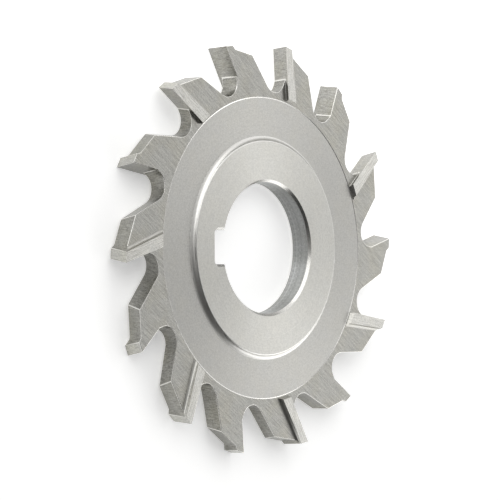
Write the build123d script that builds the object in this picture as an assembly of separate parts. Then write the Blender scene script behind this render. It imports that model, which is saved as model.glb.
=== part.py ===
import os
from math import acos, cos, radians, sin, tan

from build123d import *

os.makedirs("parts", exist_ok=True)

# Side and face cutter with staggered teeth, in mm.
# The origin is the middle of the bore, +Z runs along the bore and the keyway points along -X.
# Each tooth is drawn with its cutting tip on +X and its back towards -Y, then turned into place.
# Seen from +Z the teeth cut anticlockwise.

# Whole cutter
cutter_diameter = 100.0
cutter_width = 6.0
tooth_count = 14
first_tooth_angle = 106.7

# Bore and keyway
bore_diameter = 32.0
keyway_width = 8.1
keyway_height = 35.0
keyway_corner_radius = 0.9
hub_edge_chamfer = 0.6

# Hub, and the turned web around it
hub_diameter = 52.2
hub_fillet_radius = 1.3
web_thickness = 4.0
web_diameter = 72.9
web_edge_bevel = 0.2

# Thickness of the teeth away from their side lands
tooth_thickness = 4.1

# Flute ahead of a tooth, inclined to the bore
flute_inclination = 11.0
rake_angle = 13.0
rake_foot_height = 1.0
gullet_radius = 3.65
gullet_depth = 11.8
gullet_ahead = 2.05
gullet_start_turn = 10.0
tooth_back_angle = 42.6

# Edge of a tooth: primary land, a ground step, then the secondary land
primary_land_length = 2.5
primary_relief_angle = 8.0
step_depth = 1.1
step_lean = 0.6
step_fillet_radius = 0.5
secondary_relief_angle = 25.5

# Side land: a raised strip behind the rake face, on one side of each tooth
side_land_width = 2.4
side_land_rear_angle = 15.5
side_land_inset = 0.3
side_land_inner_draft = 0.5

# How far cutting shapes reach past the finished part, how far outlines run on past the radii that
# trim them, and how deep joined shapes sink in
clear = 0.5
run_on = 2.0
sunk = 0.1

tip_radius = cutter_diameter / 2
bore_radius = bore_diameter / 2
web_radius = web_diameter / 2
tooth_radius = web_radius + web_edge_bevel
side_land_inner_radius = tooth_radius + side_land_inset
half_width = cutter_width / 2
half_web = web_thickness / 2
half_tooth = tooth_thickness / 2
side_land_height = half_width - half_tooth
pitch_angle = 360.0 / tooth_count
gullet_centre = Vector(tip_radius - gullet_depth + gullet_radius, gullet_ahead)
lean = tan(radians(flute_inclination))
rake_slope = tan(radians(rake_angle))
rear_slope = tan(radians(side_land_rear_angle))


def rake_back(radial):
    # How far behind the tip the rake face lies at a distance from the bore's axis.
    return (tip_radius - radial) * rake_slope


def rear_back(radial):
    # The same for the rear edge of the side land.
    return side_land_width + (tip_radius - radial) * rear_slope


def leaning_prism(outline, low, high):
    # A shape that moves ahead as it rises, as the flutes of the even teeth do.
    base = Pos(0, low * lean, low) * outline
    rise = high - low
    return Solid.extrude(base.face(), Vector(0, rise * lean, rise))


def turned_disc():
    hub_radius = hub_diameter / 2
    outer_radius = tip_radius + clear
    fillet_turn = acos(1 - (half_width - half_web) / hub_fillet_radius)
    fillet_end = hub_radius + hub_fillet_radius * sin(fillet_turn)
    middle_x = fillet_end - hub_fillet_radius * sin(fillet_turn / 2)
    middle_z = half_web + hub_fillet_radius * (1 - cos(fillet_turn / 2))
    hub_edge = (hub_radius, 0, half_width)
    fillet_foot = (fillet_end, 0, half_web)
    hub_face = Polyline((0, 0, 0), (0, 0, half_width), hub_edge)
    fillet_arc = ThreePointArc(hub_edge, (middle_x, 0, middle_z), fillet_foot)
    web_and_tooth = Polyline(
        fillet_foot,
        (web_radius, 0, half_web),
        (tooth_radius, 0, half_tooth),
        (outer_radius, 0, half_tooth),
        (outer_radius, 0, 0),
        (0, 0, 0),
    )
    half_disc = revolve(make_face([hub_face, fillet_arc, web_and_tooth]), Axis.Z)
    return half_disc + mirror(half_disc, about=Plane.XY)


def keyed_bore():
    keyway_depth = keyway_height - bore_radius
    keyway = Pos(-keyway_depth / 2, 0) * Rectangle(keyway_depth, keyway_width)
    bottom_corners = keyway.vertices().group_by(Axis.X)[0]
    keyway = fillet(bottom_corners, keyway_corner_radius)
    outline = Circle(bore_radius) + keyway
    return extrude(outline, amount=half_width + clear, both=True)


def bored_disc():
    disc = turned_disc() - keyed_bore()
    front = disc.faces().sort_by(Axis.Z)[-1]
    back = disc.faces().sort_by(Axis.Z)[0]
    edges = front.inner_wires()[0].edges() + back.inner_wires()[0].edges()
    return chamfer(edges, hub_edge_chamfer)


def side_land_bar():
    # Rear of the side land: as tall as the land, with one hollow arc down to the tooth.
    height = side_land_height
    overlap = 2 * clear
    corner = height * (1 - cos(radians(45)))
    section = make_face(
        [
            Polyline((0, height), (-overlap, height), (-overlap, -sunk), (height, -sunk), (height, 0)),
            ThreePointArc((height, 0), (corner, corner), (0, height)),
        ]
    )
    start = side_land_inner_radius - run_on
    end = tip_radius + run_on
    start_point = Vector(start, -rear_back(start) + half_width * lean, half_tooth)
    end_point = Vector(end, -rear_back(end) + half_width * lean, half_tooth)
    along = start_point - end_point
    across = Vector(0, 0, 1).cross(along)
    plane = Plane(origin=end_point, x_dir=across, z_dir=along)
    return Solid.extrude((plane * section).face(), along)


def side_land():
    start = side_land_inner_radius - run_on
    end = tip_radius + run_on
    strip = make_face(
        Polyline(
            (start, -rake_back(start)),
            (end, -rake_back(end)),
            (end, -rear_back(end) + clear),
            (start, -rear_back(start) + clear),
            close=True,
        )
    )
    low = half_tooth - sunk
    strip = leaning_prism(strip, low, half_width)
    foot_radius = side_land_inner_radius
    top_radius = foot_radius + side_land_inner_draft
    ring = make_face(
        Polyline(
            (foot_radius, 0, low),
            (foot_radius, 0, half_tooth),
            (top_radius, 0, half_width),
            (tip_radius + clear, 0, half_width),
            (tip_radius + clear, 0, low),
            close=True,
        )
    )
    return (strip + side_land_bar()) & revolve(ring, Axis.Z)


def flute():
    start_turn = radians(gullet_start_turn)
    back_turn = radians(tooth_back_angle)
    gullet_start = gullet_centre - Vector(sin(start_turn), cos(start_turn)) * gullet_radius
    gullet_bottom = gullet_centre - Vector(gullet_radius, 0)
    gullet_end = gullet_centre + Vector(-cos(back_turn), sin(back_turn)) * gullet_radius
    rake_foot = gullet_start.X + rake_foot_height
    back_top = gullet_end.Y + (tip_radius - gullet_end.X) / tan(back_turn)
    outside = tip_radius + run_on
    outline = make_face(
        [
            Polyline((outside, -rake_back(outside)), (rake_foot, -rake_back(rake_foot)), gullet_start),
            ThreePointArc(gullet_start, gullet_bottom, gullet_end),
            Polyline(
                gullet_end,
                (tip_radius, back_top),
                (outside, back_top),
                (outside, -rake_back(outside)),
            ),
        ]
    )
    return leaning_prism(outline, -half_width - clear, half_width + clear)


def tooth_edge():
    # What is ground off outside the lands of one tooth, as far back as the middle of the next gullet.
    outside = tip_radius + run_on
    relief_slope = tan(radians(primary_relief_angle))
    secondary_slope = tan(radians(secondary_relief_angle))
    land_end = Vector(tip_radius - primary_land_length * relief_slope, -primary_land_length)
    step_foot = land_end - Vector(step_depth, step_lean)
    reach = step_foot.Y - gullet_centre.rotate(Axis.Z, -pitch_angle).Y
    secondary_end = step_foot - Vector(reach * secondary_slope, reach)
    outline = make_face(
        Polyline(
            (tip_radius + clear * relief_slope, clear),
            land_end,
            step_foot,
            secondary_end,
            (outside, secondary_end.Y),
            (outside, clear),
            close=True,
        )
    )
    foot_corner = outline.vertices().sort_by_distance(step_foot)[0]
    outline = fillet(foot_corner, step_fillet_radius)
    return leaning_prism(outline, -half_width - clear, half_width + clear)


def around(shape):
    # The shape on every tooth: upright on the even ones, turned over on the odd ones.
    turned_over = mirror(shape, about=Plane.XY)
    placed = []
    for index in range(tooth_count):
        kind = turned_over if index % 2 == 0 else shape
        placed.append(Rot(0, 0, first_tooth_angle - index * pitch_angle) * kind)
    return placed


def cutter():
    body = bored_disc() + around(side_land())
    return body - around(tooth_edge()) - around(flute())


solid = cutter().solid()
solid.label = "side_and_face_cutter"
export_step(solid, "parts/side_and_face_cutter.step")
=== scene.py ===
import math

import bmesh
import bpy
from mathutils import Matrix, Vector


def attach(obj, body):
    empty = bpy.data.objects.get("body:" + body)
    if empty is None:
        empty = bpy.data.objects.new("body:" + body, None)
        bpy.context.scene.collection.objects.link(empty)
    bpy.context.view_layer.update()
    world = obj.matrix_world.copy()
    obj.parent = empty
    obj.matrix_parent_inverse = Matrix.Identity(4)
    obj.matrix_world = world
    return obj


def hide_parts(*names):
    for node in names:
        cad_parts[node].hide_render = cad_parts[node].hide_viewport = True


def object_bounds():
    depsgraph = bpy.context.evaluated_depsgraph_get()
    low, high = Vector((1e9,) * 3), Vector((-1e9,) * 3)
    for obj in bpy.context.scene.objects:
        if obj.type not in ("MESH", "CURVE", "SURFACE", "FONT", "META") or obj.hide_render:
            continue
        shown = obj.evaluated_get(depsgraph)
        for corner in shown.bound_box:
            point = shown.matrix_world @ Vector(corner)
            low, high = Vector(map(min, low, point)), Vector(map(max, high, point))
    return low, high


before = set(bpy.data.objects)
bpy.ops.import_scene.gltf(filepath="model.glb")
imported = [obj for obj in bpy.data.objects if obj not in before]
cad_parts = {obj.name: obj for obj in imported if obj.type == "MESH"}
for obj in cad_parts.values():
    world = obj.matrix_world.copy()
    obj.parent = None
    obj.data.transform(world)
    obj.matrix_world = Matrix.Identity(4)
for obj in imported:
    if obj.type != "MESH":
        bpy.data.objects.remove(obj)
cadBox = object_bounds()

# Side and face cutter, lying flat. Lengths in the dictionaries are millimetres unless a note says
# metres, and angles are degrees.
mm = 0.001
scene = bpy.context.scene
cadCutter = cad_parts["side_and_face_cutter"]


def linear(hexColour):
    # sRGB hex to the linear colour that shaders want
    values = [int(hexColour[i : i + 2], 16) / 255 for i in (1, 3, 5)]
    return tuple(v / 12.92 if v <= 0.04045 else ((v + 0.055) / 1.055) ** 2.4 for v in values) + (1.0,)


def addNode(tree, kind, settings=None, links=None, place=(0, 0)):
    # One node with its properties, socket values and incoming links
    node = tree.nodes.new(kind)
    node.location = place
    for key, value in (settings or {}).items():
        if hasattr(node, str(key)):
            setattr(node, key, value)
        else:
            node.inputs[key].default_value = value
    for key, source in (links or {}).items():
        tree.links.new(source, node.inputs[key])
    return node


def makeActive(piece):
    bpy.ops.object.select_all(action="DESELECT")
    piece.select_set(True)
    bpy.context.view_layer.objects.active = piece


# The camera looks down on the cutter with the keyway at the left, so that it seems to stand upright
cameraSettings = {
    "place": (-431.94, -10.19, 366.72),
    "aim": (-3.277, -0.520, 0.0),
    "up": (-0.00929696, 0.99983689, 0.015484),
    "lens": 167.69,
    "sensor": 36.0,
    "clip": (10.0, 20000.0),
}


def addCamera():
    data = bpy.data.cameras.new("camera")
    data.lens = cameraSettings["lens"]
    data.sensor_width = cameraSettings["sensor"]
    data.clip_start, data.clip_end = (reach * mm for reach in cameraSettings["clip"])
    camera = bpy.data.objects.new("camera", data)
    scene.collection.objects.link(camera)
    place = Vector(cameraSettings["place"]) * mm
    aim = Vector(cameraSettings["aim"]) * mm
    back = (place - aim).normalized()
    up = Vector(cameraSettings["up"])
    up = (up - back * up.dot(back)).normalized()
    right = up.cross(back)
    turn = Matrix((right, up, back)).transposed()
    camera.matrix_world = Matrix.Translation(place) @ turn.to_4x4()
    scene.camera = camera


addCamera()
print("camera ready")

# Bare high-speed steel, a slightly warm grey metal. Every face is ground, turned or milled, so it is
# satin and carries the fine lines of its own machining. "pitch" and "length" are the lines' size,
# drawn coarser than the real hundredths of a millimetre so that they show. "contrast" and "grain" are
# how far the lines and specks lighten and darken the colour, "spread" how far the lines change the
# roughness, and "tintAmount" how much of the second colour the patches reach.
# Some colours hold painted light: the thin turned and stoned faces are lightened as painted highlights, the
# gullets and rake faces darkened partly as painted shade.
finishes = {
    # Ground hub: an even, fairly bright sheen that turns with the face's rings
    "groundHubSteel": {
        "colour": "#c6c5c0", "roughness": 0.30, "rings": True, "anisotropy": 0.6, "pitch": 0.30,
        "contrast": 0.03, "spread": 0.02, "bump": 0.06, "grain": 0.08, "tint": "#c8c6be", "tintAmount": 0.3,
    },
    # Fine-turned web: softer and a little darker than the hub
    "turnedWebSteel": {
        "colour": "#bab9b5", "roughness": 0.34, "rings": True, "anisotropy": 0.5, "pitch": 0.30,
        "contrast": 0.03, "spread": 0.02, "bump": 0.06, "grain": 0.09, "tint": "#bcbab3", "tintAmount": 0.4,
    },
    # Ground flanks of the teeth: slanting grey lines, the dullest of the flat faces
    "groundFlankSteel": {
        "colour": "#adaca7", "roughness": 0.36, "anisotropy": 0.0, "pitch": 0.26, "length": 5.0,
        "contrast": 0.18, "spread": 0.03, "bump": 0.24, "grain": 0.15, "tint": "#aeaba0", "tintAmount": 0.5,
    },
    # Side lands: the brightest ground faces, with fine lines along each tooth
    "groundSideLandSteel": {
        "colour": "#c8c7c2", "roughness": 0.28, "anisotropy": 0.0, "pitch": 0.28, "length": 4.0,
        "contrast": 0.16, "spread": 0.03, "bump": 0.20, "grain": 0.10, "tint": "#c9c6bd", "tintAmount": 0.3,
    },
    # Hollow behind a side land: shades from light to dark across its curve
    "groundHollowSteel": {
        "colour": "#b4b3ae", "roughness": 0.32, "anisotropy": 0.0, "pitch": 0.35, "length": 4.0,
        "contrast": 0.12, "spread": 0.03, "bump": 0.15, "grain": 0.10, "tint": "#b3b1a8", "tintAmount": 0.3,
    },
    # Primary lands behind the cutting edges: narrow bright strips
    "groundEdgeLandSteel": {
        "colour": "#b7b6b1", "roughness": 0.30, "anisotropy": 0.0, "pitch": 0.26, "length": 2.0,
        "contrast": 0.16, "spread": 0.03, "bump": 0.22, "grain": 0.14, "tint": "#b9b8ad", "tintAmount": 0.5,
    },
    # Secondary lands: darker, with lines across the width of the cutter
    "groundReliefSteel": {
        "colour": "#999893", "roughness": 0.30, "anisotropy": 0.0, "pitch": 0.26, "length": 2.0,
        "contrast": 0.18, "spread": 0.03, "bump": 0.26, "grain": 0.16, "tint": "#9b9a90", "tintAmount": 0.5,
    },
    # Rake faces: flat grey with close lines from face to face, the grey darkened partly as painted shade
    "groundRakeSteelPaintedShade": {
        "colour": "#9e9d99", "roughness": 0.30, "anisotropy": 0.0, "pitch": 0.26, "length": 2.0,
        "contrast": 0.20, "spread": 0.03, "bump": 0.26, "grain": 0.18, "tint": "#9e9c91", "tintAmount": 0.6,
    },
    # Gullets and tooth backs: milled and the most streaked faces, their grey darkened partly as painted
    # shade for these recesses
    "milledFluteSteelPaintedShade": {
        "colour": "#94938e", "roughness": 0.28, "anisotropy": 0.0, "pitch": 0.28, "length": 2.0,
        "contrast": 0.22, "spread": 0.04, "bump": 0.30, "grain": 0.18, "tint": "#929085", "tintAmount": 0.6,
    },
    # Bore and keyway: broad bands that run round the hole, a cooler grey
    "groundBoreSteel": {
        "colour": "#b6b7b6", "roughness": 0.40, "anisotropy": 1.0, "pitch": 0.80, "length": 5.0,
        "contrast": 0.30, "spread": 0.04, "bump": 0.10, "grain": 0.12, "tint": "#acada9", "tintAmount": 0.5,
    },
    # Bevel round the web: a thin line that catches the light, its turned steel lightened as a painted
    # highlight
    "turnedBevelSteelPaintedHighlight": {
        "colour": "#e6e5e1", "roughness": 0.24, "rings": True, "anisotropy": 0.3, "pitch": 0.30,
        "contrast": 0.02, "spread": 0.02, "bump": 0.03, "grain": 0.04, "tint": "#e4e3dd", "tintAmount": 0.3,
    },
    # Radius at the hub's foot: one bright and one dark band round the hub, its turned steel lightened as a
    # painted highlight
    "turnedFilletSteelPaintedHighlight": {
        "colour": "#dad9d5", "roughness": 0.38, "rings": True, "anisotropy": 0.2, "pitch": 0.30,
        "contrast": 0.02, "spread": 0.02, "bump": 0.03, "grain": 0.05, "tint": "#d8d7d1", "tintAmount": 0.3,
    },
    # Rounded rim of the hub: a hair line of light, its turned steel lightened as a painted highlight
    "turnedRimSteelPaintedHighlight": {
        "colour": "#dad9d5", "roughness": 0.33, "rings": True, "anisotropy": 0.2, "pitch": 0.30,
        "contrast": 0.02, "spread": 0.02, "bump": 0.03, "grain": 0.05, "tint": "#d8d7d1", "tintAmount": 0.3,
    },
    # Chamfers of the bore: bright on one side and dark on the other, their turned steel lightened as a
    # painted highlight
    "turnedChamferSteelPaintedHighlight": {
        "colour": "#cfceca", "roughness": 0.26, "rings": True, "anisotropy": 0.3, "pitch": 0.30,
        "contrast": 0.02, "spread": 0.02, "bump": 0.03, "grain": 0.06, "tint": "#cdccc6", "tintAmount": 0.3,
    },
    # Stoned edges: thin and clean, their steel lightened as a painted highlight
    "brokenEdgeSteelPaintedHighlight": {
        "colour": "#e0dfdb", "roughness": 0.22, "anisotropy": 0.0, "pitch": 0.40, "length": 2.0,
        "contrast": 0.05, "spread": 0.03, "bump": 0.05, "grain": 0.06, "tint": "#dad8ce", "tintAmount": 0.4,
    },
}
# What all finishes share: the size of the faint patches of tint and of the fine grain, the height of
# a machining line, and which part of each noise pattern counts from its lowest to its highest
steelPattern = {
    "patchSize": 5.0,
    "grainSize": 0.35,
    "lineDepth": 0.02,
    "patchRange": (0.40, 0.65),
    "lineRange": (0.30, 0.70),
    "grainRange": (0.30, 0.70),
}


def makeSteel(name):
    look = finishes[name]
    pattern = steelPattern
    material = bpy.data.materials.new(name)
    material.use_nodes = True
    tree = material.node_tree
    tree.nodes.clear()
    places = addNode(tree, "ShaderNodeTexCoord", place=(-1400, 0)).outputs["Object"]
    if "rings" in look:
        # Fine turned rings: the line pattern is read along the distance from the bore's axis
        ringsPerMetre = 1 / (look["pitch"] * mm)
        flat = addNode(
            tree,
            "ShaderNodeVectorMath",
            {"operation": "MULTIPLY", 1: (ringsPerMetre, ringsPerMetre, 0)},
            {0: places},
            (-1200, 0),
        )
        radius = addNode(
            tree, "ShaderNodeVectorMath", {"operation": "LENGTH"}, {0: flat.outputs["Vector"]}, (-1000, 0)
        )
        lines = addNode(
            tree,
            "ShaderNodeTexNoise",
            {"noise_dimensions": "1D", "Scale": 1.0, "Detail": 2.0},
            {"W": radius.outputs["Value"]},
            (-800, 0),
        )
    else:
        # Straight grinding lines: the UV map holds each face's own lay in millimetres
        lay = addNode(tree, "ShaderNodeUVMap", {"uv_map": "lay"}, place=(-1200, 0))
        stretched = addNode(
            tree,
            "ShaderNodeVectorMath",
            {"operation": "MULTIPLY", 1: (1 / look["pitch"], 1 / look["length"], 0)},
            {0: lay.outputs["UV"]},
            (-1000, 0),
        )
        lines = addNode(
            tree,
            "ShaderNodeTexNoise",
            {"noise_dimensions": "2D", "Scale": 1.0, "Detail": 2.0},
            {"Vector": stretched.outputs["Vector"]},
            (-800, 0),
        )
    patches = addNode(
        tree,
        "ShaderNodeTexNoise",
        {"Scale": 1 / (pattern["patchSize"] * mm), "Detail": 2.0},
        {"Vector": places},
        (-800, -300),
    )
    amount = addNode(
        tree,
        "ShaderNodeMapRange",
        {
            "From Min": pattern["patchRange"][0],
            "From Max": pattern["patchRange"][1],
            "To Max": look["tintAmount"],
        },
        {"Value": patches.outputs["Fac"]},
        (-600, -300),
    )
    # In a colour mix, sockets 6 and 7 are the two colours and output 2 is the result
    tinted = addNode(
        tree,
        "ShaderNodeMix",
        {"data_type": "RGBA", 6: linear(look["colour"]), 7: linear(look["tint"])},
        {"Factor": amount.outputs["Result"]},
        (-400, -300),
    )
    lineShade = addNode(
        tree,
        "ShaderNodeMapRange",
        {
            "From Min": pattern["lineRange"][0],
            "From Max": pattern["lineRange"][1],
            "To Min": 1 - look["contrast"],
            "To Max": 1 + look["contrast"],
        },
        {"Value": lines.outputs["Fac"]},
        (-600, 100),
    )
    specks = addNode(
        tree,
        "ShaderNodeTexNoise",
        {"Scale": 1 / (pattern["grainSize"] * mm), "Detail": 1.0},
        {"Vector": places},
        (-800, 300),
    )
    grainShade = addNode(
        tree,
        "ShaderNodeMapRange",
        {
            "From Min": pattern["grainRange"][0],
            "From Max": pattern["grainRange"][1],
            "To Min": 1 - look["grain"],
            "To Max": 1 + look["grain"],
        },
        {"Value": specks.outputs["Fac"]},
        (-600, 300),
    )
    shades = addNode(
        tree,
        "ShaderNodeMath",
        {"operation": "MULTIPLY"},
        {0: lineShade.outputs["Result"], 1: grainShade.outputs["Result"]},
        (-400, 100),
    )
    lined = addNode(
        tree,
        "ShaderNodeVectorMath",
        {"operation": "SCALE"},
        {0: tinted.outputs[2], "Scale": shades.outputs["Value"]},
        (-200, -100),
    )
    rough = addNode(
        tree,
        "ShaderNodeMapRange",
        {
            "From Min": pattern["lineRange"][0],
            "From Max": pattern["lineRange"][1],
            "To Min": look["roughness"] - look["spread"],
            "To Max": look["roughness"] + look["spread"],
        },
        {"Value": lines.outputs["Fac"]},
        (-200, 200),
    )
    bump = addNode(
        tree,
        "ShaderNodeBump",
        {"Strength": look["bump"], "Distance": pattern["lineDepth"] * mm},
        {"Height": lines.outputs["Fac"]},
        (-200, -400),
    )
    shader = addNode(
        tree,
        "ShaderNodeBsdfPrincipled",
        {"Metallic": 1.0},
        {
            "Base Color": lined.outputs["Vector"],
            "Roughness": rough.outputs["Result"],
            "Normal": bump.outputs["Normal"],
        },
    )
    if look["anisotropy"]:
        # Lines that run round the axis spread the light across them, a quarter turn from their run
        shader.inputs["Anisotropic"].default_value = look["anisotropy"]
        shader.inputs["Anisotropic Rotation"].default_value = 0.25
        settings = {"direction_type": "RADIAL", "axis": "Z"}
        around = addNode(tree, "ShaderNodeTangent", settings, place=(-200, -600))
        tree.links.new(around.outputs["Tangent"], shader.inputs["Tangent"])
    addNode(tree, "ShaderNodeOutputMaterial", None, {"Surface": shader.outputs["BSDF"]}, (300, 0))
    return material


steels = {name: makeSteel(name) for name in finishes}
steelOrder = list(finishes)
print("steels ready")

cutterSettings = {
    "toothCount": 14,
    "firstTooth": 106.7,  # azimuth of a tip, from +X
    "fluteInclination": 11.0,
    "rakeAngle": 13.0,
    "flankLay": 12.0,  # slant of the grinding lines on the flanks
    # Limits between the finishes: radii from the bore's axis, and heights above mid width
    "boreSide": 20.5,
    "hubRadius": 26.5,
    "filletFoot": 28.2,
    "webEdge": 36.8,
    "toothFoot": 42.0,
    "hubHeight": 2.9,
    "flankHeight": 2.02,
    # The turned radius at the hub's foot, its centre as radius and height, and cuts across it
    "filletRadius": 1.3,
    "filletCentre": (27.365, 3.3),
    "filletCuts": 3,
    "webBevelTilt": 18.0,
    "rimBreak": 0.3,
    # Clean-up of the loose triangles, then what counts as a sharp edge
    "mergeGap": 0.0005,
    "flatAngle": 0.2,
    "edgeAngle": 30.0,
    "smoothAngle": 30.0,
}
# How squarely a face has to look one way to count as that kind, as the cosine of its angle to it
facing = {"flat": 0.99, "slanted": 0.5, "upright": 0.3, "relief": 0.83, "edgeLand": 0.965, "rake": 0.9}
# Widths of the broken edges: the cutting edges stay keen, the others are stoned by hand, and the
# wheel leaves a narrow line at the foot of each rake face
edgeBreaks = {"cutting": 0.05, "foot": 0.18, "stoned": 0.14}
weightLayer = "bevel_weight_edge"  # the name under which the bevel modifier looks for its weights


def finishOf(centre, normal):
    # Which machining left this face, by its place and the way it faces
    cut = cutterSettings
    radius = math.hypot(centre.x, centre.y) / mm
    height = abs(centre.z) / mm
    rise = abs(normal.z)
    if rise > facing["flat"] and height > cut["hubHeight"]:
        return "groundHubSteel" if radius < cut["hubRadius"] else "groundSideLandSteel"
    if rise > facing["flat"]:
        return "groundFlankSteel" if height > cut["flankHeight"] else "turnedWebSteel"
    if radius < cut["boreSide"]:
        return "groundBoreSteel" if rise < facing["upright"] else "turnedChamferSteelPaintedHighlight"
    if radius < cut["filletFoot"]:
        return "turnedFilletSteelPaintedHighlight"
    if rise > facing["slanted"] and radius < cut["webEdge"]:
        return "turnedBevelSteelPaintedHighlight"
    if height > cut["flankHeight"]:
        return "groundHollowSteel"
    if radius < cut["toothFoot"]:
        return "milledFluteSteelPaintedShade"
    # Further out, a land looks away from the bore and a rake face looks ahead round the cutter
    outward = (centre.x * normal.x + centre.y * normal.y) / (radius * mm)
    ahead = (centre.x * normal.y - centre.y * normal.x) / (radius * mm)
    if outward > facing["relief"]:
        return "groundEdgeLandSteel" if outward > facing["edgeLand"] else "groundReliefSteel"
    return "groundRakeSteelPaintedShade" if ahead > facing["rake"] else "milledFluteSteelPaintedShade"


def layOf(finish, centre, normal):
    # Directions across and along the machining lines of a face
    cut = cutterSettings
    pitch = 360 / cut["toothCount"]
    azimuth = math.degrees(math.atan2(centre.y, centre.x))
    # A tooth's body lies about a quarter pitch behind its tip, its flute as much ahead
    offset = pitch / 4 if finish in ("milledFluteSteelPaintedShade", "groundRakeSteelPaintedShade") else -pitch / 4
    index = round((cut["firstTooth"] + offset - azimuth) / pitch)
    tip = math.radians(cut["firstTooth"] - index * pitch)
    radial = Vector((math.cos(tip), math.sin(tip), 0))
    ahead = Vector((-math.sin(tip), math.cos(tip), 0))
    if finish == "groundBoreSteel":
        along = Vector((0, 0, 1)).cross(normal)
    elif abs(normal.z) > facing["slanted"]:
        turn = cut["flankLay"] if finish == "groundFlankSteel" else cut["rakeAngle"]
        along = radial * math.cos(math.radians(turn)) + ahead * math.sin(math.radians(turn))
    else:
        # The flutes lean one way on the odd teeth and the other way on the even ones
        lean = math.tan(math.radians(cut["fluteInclination"])) * (1 if index % 2 else -1)
        along = Vector((0, 0, 1)) + ahead * lean
    across = normal.cross(along).normalized()
    return across, along.normalized()


def bevelByWeight(cutter, name, width, segments, material):
    bevel = cutter.modifiers.new(name, "BEVEL")
    bevel.width = width * mm
    bevel.segments = segments
    bevel.limit_method = "WEIGHT"
    bevel.use_clamp_overlap = False
    bevel.material = steelOrder.index(material)
    makeActive(cutter)
    bpy.ops.object.modifier_apply(modifier=bevel.name)


def roundRim(cutter):
    # The lathe tool leaves the hub's rim slightly round
    work = bmesh.new()
    work.from_mesh(cutter.data)
    weight = work.edges.layers.float.new(weightLayer)
    rim = {"groundHubSteel", "turnedFilletSteelPaintedHighlight"}
    for edge in work.edges:
        names = {steelOrder[face.material_index] for face in edge.link_faces}
        edge[weight] = 1.0 if names == rim else 0.0
    work.to_mesh(cutter.data)
    work.free()
    bevelByWeight(cutter, "rim", cutterSettings["rimBreak"], segments=3, material="turnedRimSteelPaintedHighlight")


def roundFillet(mesh):
    # The turned radius at the hub's foot is cut finer, with every new point set on its true arc
    cut = cutterSettings
    fillet = steelOrder.index("turnedFilletSteelPaintedHighlight")
    work = bmesh.new()
    work.from_mesh(mesh)
    faces = [face for face in work.faces if face.material_index == fillet]
    # The edges that rise are the ones that run across it
    level = 0.01 * mm
    across = {
        edge
        for face in faces
        for edge in face.edges
        if abs(edge.verts[0].co.z - edge.verts[1].co.z) > level
    }
    bmesh.ops.subdivide_edges(work, edges=list(across), cuts=cut["filletCuts"], use_grid_fill=True)
    work.faces.ensure_lookup_table()
    middle, height = cut["filletCentre"]
    points = {point for face in work.faces if face.material_index == fillet for point in face.verts}
    for point in points:
        radius = math.hypot(point.co.x, point.co.y) / mm
        side = math.copysign(1, point.co.z)
        out = Vector((radius - middle, side * point.co.z / mm - height)).normalized() * cut["filletRadius"]
        scale = (middle + out.x) / radius
        point.co = (point.co.x * scale, point.co.y * scale, side * (height + out.y) * mm)
    work.to_mesh(mesh)
    work.free()


def markBrokenEdges(mesh):
    # Each sharp edge gets a bevel weight, by the faces that meet there
    work = bmesh.new()
    work.from_mesh(mesh)
    weight = work.edges.layers.float[weightLayer]
    unbroken = {
        "groundHubSteel",
        "groundHollowSteel",
        "turnedRimSteelPaintedHighlight",
        "turnedFilletSteelPaintedHighlight",
        "turnedChamferSteelPaintedHighlight",
    }
    lands = {"groundSideLandSteel", "groundEdgeLandSteel"}
    keen = lands | {"groundRakeSteelPaintedShade"}
    foot = {"groundRakeSteelPaintedShade", "milledFluteSteelPaintedShade"}
    for edge in work.edges:
        names = {steelOrder[face.material_index] for face in edge.link_faces}
        edge[weight] = 0.0
        if names & unbroken:
            continue
        if names == foot:
            kind = "foot"
        elif edge.calc_face_angle(0) < math.radians(cutterSettings["edgeAngle"]):
            continue
        elif "groundBoreSteel" in names or (names <= keen and names & lands):
            kind = "cutting"
        else:
            kind = "stoned"
        edge[weight] = edgeBreaks[kind] / max(edgeBreaks.values())
    work.to_mesh(mesh)
    work.free()


def sharpenBevel(mesh):
    # The shallow bevel round the web keeps its own two edges
    bevel = steelOrder.index("turnedBevelSteelPaintedHighlight")
    owners = {}
    for face in mesh.polygons:
        for key in face.edge_keys:
            owners.setdefault(key, []).append(face.material_index)
    for edge in mesh.edges:
        kinds = owners.get(edge.key, [])
        if bevel in kinds and len(set(kinds)) > 1:
            edge.use_edge_sharp = True


def smoothTurning(mesh):
    # The turned radius is shaded by its true arc, so that the bright and dark bands along it have
    # clean edges. The bevel round the web is shaded a little steeper than it is, so that it shows.
    fillet = steelOrder.index("turnedFilletSteelPaintedHighlight")
    bevel = steelOrder.index("turnedBevelSteelPaintedHighlight")
    middle, height = cutterSettings["filletCentre"]
    tilt = math.tan(math.radians(cutterSettings["webBevelTilt"]))
    normals = [corner.vector.copy() for corner in mesh.corner_normals]
    for face in mesh.polygons:
        if face.material_index not in (fillet, bevel):
            continue
        for corner in face.loop_indices:
            place = mesh.vertices[mesh.loops[corner].vertex_index].co / mm
            radius = math.hypot(place.x, place.y)
            side = math.copysign(1, place.z)
            if face.material_index == fillet:
                inward, up = (middle - radius) / radius, height - abs(place.z)
            else:
                inward, up = -tilt / radius, 1
            normals[corner] = Vector((place.x * inward, place.y * inward, side * up)).normalized()
    mesh.normals_split_custom_set(normals)


def mapLay(mesh):
    # Each face's own UVs, in millimetres across and along its machining lines
    layer = mesh.uv_layers.new(name="lay")
    for face in mesh.polygons:
        across, along = layOf(steelOrder[face.material_index], face.center, face.normal)
        for corner in face.loop_indices:
            point = mesh.vertices[mesh.loops[corner].vertex_index].co / mm
            layer.data[corner].uv = (point.dot(across), point.dot(along))


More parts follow.
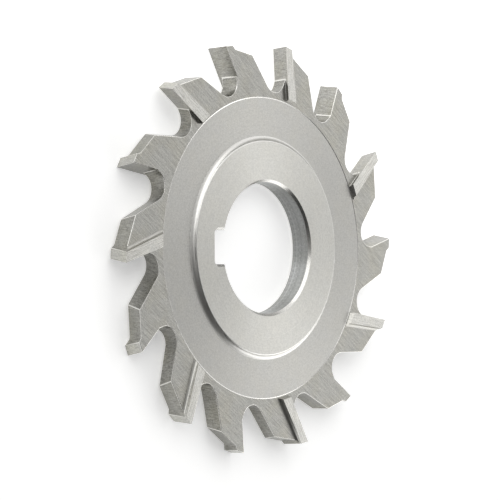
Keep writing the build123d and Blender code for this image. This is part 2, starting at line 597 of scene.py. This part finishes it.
def copyPart():
    # A copy of the part's own mesh, its loose triangles merged into whole faces
    cutter = cadCutter.copy()
    cutter.data = cadCutter.data.copy()
    cutter.name = "groundCutter"
    scene.collection.objects.link(cutter)
    cutter.parent = None
    makeActive(cutter)
    bpy.ops.mesh.customdata_custom_splitnormals_clear()
    bpy.ops.object.mode_set(mode="EDIT")
    bpy.ops.mesh.select_all(action="SELECT")
    bpy.ops.mesh.remove_doubles(threshold=cutterSettings["mergeGap"] * mm)
    bpy.ops.mesh.dissolve_limited(angle_limit=math.radians(cutterSettings["flatAngle"]))
    bpy.ops.mesh.select_all(action="DESELECT")
    bpy.ops.object.mode_set(mode="OBJECT")
    return cutter


def keepWidth(mesh):
    # Rounding in the bevels must not leave the part's own width
    top = cadBox[1][2]
    for point in mesh.vertices:
        point.co.z = max(-top, min(top, point.co.z))


def shadeFlats(cutter):
    # The large flat faces keep their own normals, so that only the broken edges shade round
    flats = cutter.modifiers.new("flatFaces", "WEIGHTED_NORMAL")
    flats.keep_sharp = True
    flats.weight = 100
    makeActive(cutter)
    bpy.ops.object.modifier_apply(modifier=flats.name)


def makeCutter():
    cutter = copyPart()
    mesh = cutter.data
    mesh.materials.clear()
    for name in steelOrder:
        mesh.materials.append(steels[name])
    for face in mesh.polygons:
        face.material_index = steelOrder.index(finishOf(face.center, face.normal))
    roundRim(cutter)
    roundFillet(mesh)
    markBrokenEdges(mesh)
    widest = max(edgeBreaks.values())
    bevelByWeight(cutter, "edgeBreak", widest, segments=2, material="brokenEdgeSteelPaintedHighlight")
    keepWidth(mesh)
    bpy.ops.object.shade_smooth_by_angle(angle=math.radians(cutterSettings["smoothAngle"]))
    sharpenBevel(mesh)
    shadeFlats(cutter)
    smoothTurning(mesh)
    mapLay(mesh)
    print("faces of the cutter:", len(mesh.polygons))
    return cutter


cutter = makeCutter()
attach(cutter, "root")
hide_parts("side_and_face_cutter")
print("cutter ready")

# White paper that glows a little, so that the open floor is white and the soft shadow stays. On the far
# side of the cutter the glow is painted brighter, a painted light patch that the gullets mirror as a
# painted reflection.
studio = {
    "floorZ": -3.0,
    "floorSize": 6000.0,
    "floorColour": "#fbfbfa",
    "floorGlow": 0.36,
    "farPaintedGlow": 0.68,
    "paintedGlowAzimuth": 60.0,
    "paintedGlowFrom": -5.0,  # the painted glow starts to grow this far from the bore's axis, towards paintedGlowAzimuth
    "paintedGlowTo": 40.0,
    "worldStrength": 0.4,
    "cardColour": "#484848",
    "cardRoughness": 0.9,
}
# Each softbox as seen from the cutter: azimuth from +X and elevation in degrees, distance and size in
# metres, and its brightness, where 1 is plain white
softboxes = {
    "backRight": {"azimuth": -5, "elevation": 30, "distance": 1.2, "size": (1.19, 0.74), "radiance": 0.84},
    "backLeft": {"azimuth": 53, "elevation": 30, "distance": 1.2, "size": (1.19, 0.74), "radiance": 0.88},
    "upperLeft": {"azimuth": 121, "elevation": 29, "distance": 1.0, "size": (1.3, 1.08), "radiance": 1.55},
    "lowerRight": {"azimuth": -40, "elevation": 15, "distance": 1.0, "size": (1.04, 0.55), "radiance": 1.6},
    "highRight": {"azimuth": 44, "elevation": 67, "distance": 1.0, "size": (0.35, 0.32), "radiance": 0.9},
}
# Dark cards keep one side of each turned curve dark. They are placed in the same measures.
cards = {
    "lowerLeft": {"azimuth": 253, "elevation": 56, "distance": 0.7, "size": (0.98, 0.80)},
    "lowFront": {"azimuth": 240, "elevation": 12, "distance": 0.7, "size": (1.6, 0.40)},
    "upperRight": {"azimuth": 325, "elevation": 61, "distance": 0.9, "size": (0.54, 0.35)},
}


def direction(azimuth, elevation):
    # Unit vector from the cutter's middle towards a place in the studio
    a, e = math.radians(azimuth), math.radians(elevation)
    return Vector((math.cos(a) * math.cos(e), math.sin(a) * math.cos(e), math.sin(e)))


def makePaper():
    # Matt white paper: the same white from every side, in the metal's reflections too, with a painted
    # brighter patch on the far side
    material = bpy.data.materials.new("whitePaper")
    material.use_nodes = True
    tree = material.node_tree
    tree.nodes.clear()
    paper = addNode(tree, "ShaderNodeBsdfDiffuse", {"Color": linear(studio["floorColour"])})
    # The glow is only seen, by the camera and in reflections, and lights nothing
    rays = addNode(tree, "ShaderNodeLightPath", place=(-900, 0))
    seenOrMirrored = addNode(
        tree,
        "ShaderNodeMath",
        {"operation": "ADD"},
        {0: rays.outputs["Is Camera Ray"], 1: rays.outputs["Is Glossy Ray"]},
        (-700, 0),
    )
    seen = addNode(
        tree,
        "ShaderNodeMath",
        {"operation": "ADD", "use_clamp": True},
        {0: seenOrMirrored.outputs["Value"], 1: rays.outputs["Is Transmission Ray"]},
        (-500, 0),
    )
    # A painted light patch: the glow grows with the distance from the bore's axis towards the far side
    place = addNode(tree, "ShaderNodeTexCoord", place=(-1100, -300))
    beyond = addNode(
        tree,
        "ShaderNodeVectorMath",
        {"operation": "DOT_PRODUCT", 1: direction(studio["paintedGlowAzimuth"], 0)},
        {0: place.outputs["Object"]},
        (-900, -300),
    )
    glowAndPaintedPatch = addNode(
        tree,
        "ShaderNodeMapRange",
        {
            "interpolation_type": "SMOOTHSTEP",
            "From Min": studio["paintedGlowFrom"] * mm,
            "From Max": studio["paintedGlowTo"] * mm,
            "To Min": studio["floorGlow"],
            "To Max": studio["farPaintedGlow"],
        },
        {"Value": beyond.outputs["Value"]},
        (-700, -300),
    )
    strength = addNode(
        tree,
        "ShaderNodeMath",
        {"operation": "MULTIPLY"},
        {0: seen.outputs["Value"], 1: glowAndPaintedPatch.outputs["Result"]},
        (-300, 0),
    )
    glow = addNode(tree, "ShaderNodeEmission", None, {"Strength": strength.outputs["Value"]}, (-100, -200))
    both = addNode(
        tree, "ShaderNodeAddShader", None, {0: paper.outputs["BSDF"], 1: glow.outputs["Emission"]}, (150, 0)
    )
    addNode(tree, "ShaderNodeOutputMaterial", None, {"Surface": both.outputs["Shader"]}, (300, 0))
    return material


def addFloor():
    bpy.ops.object.select_all(action="DESELECT")
    level = studio["floorZ"] * mm
    bpy.ops.mesh.primitive_plane_add(size=studio["floorSize"] * mm, location=(0, 0, level))
    floor = bpy.context.active_object
    floor.name = "floor"
    floor.data.materials.append(makePaper())


def addSoftbox(name):
    box = softboxes[name]
    data = bpy.data.lights.new(name, "AREA")
    data.shape = "RECTANGLE"
    data.size, data.size_y = box["size"]
    # A lamp's power for its brightness: pi times its area times the radiance
    area = box["size"][0] * box["size"][1]
    data.energy = box["radiance"] * math.pi * area
    lamp = bpy.data.objects.new(name, data)
    scene.collection.objects.link(lamp)
    towards = direction(box["azimuth"], box["elevation"])
    lamp.location = towards * box["distance"]
    lamp.rotation_mode = "QUATERNION"
    lamp.rotation_quaternion = towards.to_track_quat("Z", "Y")
    lamp.visible_camera = False


def makeCardboard():
    # Matt dark grey card: a soft dark patch in the metal, with no shine of its own
    material = bpy.data.materials.new("darkCard")
    material.use_nodes = True
    shader = material.node_tree.nodes["Principled BSDF"]
    shader.inputs["Base Color"].default_value = linear(studio["cardColour"])
    shader.inputs["Roughness"].default_value = studio["cardRoughness"]
    return material


def addCard(name, material):
    look = cards[name]
    towards = direction(look["azimuth"], look["elevation"])
    bpy.ops.object.select_all(action="DESELECT")
    bpy.ops.mesh.primitive_plane_add(size=1, location=(0, 0, 0))
    card = bpy.context.active_object
    card.name = name + "Card"
    turn = towards.to_track_quat("Z", "Y").to_matrix().to_4x4()
    size = Matrix.Diagonal((*look["size"], 1, 1))
    card.data.transform(Matrix.Translation(towards * look["distance"]) @ turn @ size)
    card.data.materials.append(material)
    card.visible_camera = False


def setWorld():
    world = bpy.data.worlds.new("studio")
    world.use_nodes = True
    scene.world = world
    background = world.node_tree.nodes["Background"]
    background.inputs["Color"].default_value = (1, 1, 1, 1)
    background.inputs["Strength"].default_value = studio["worldStrength"]


addFloor()
for name in softboxes:
    addSoftbox(name)
cardboard = makeCardboard()
for name in cards:
    addCard(name, cardboard)
setWorld()
scene.view_settings.view_transform = "Standard"
print("studio ready")
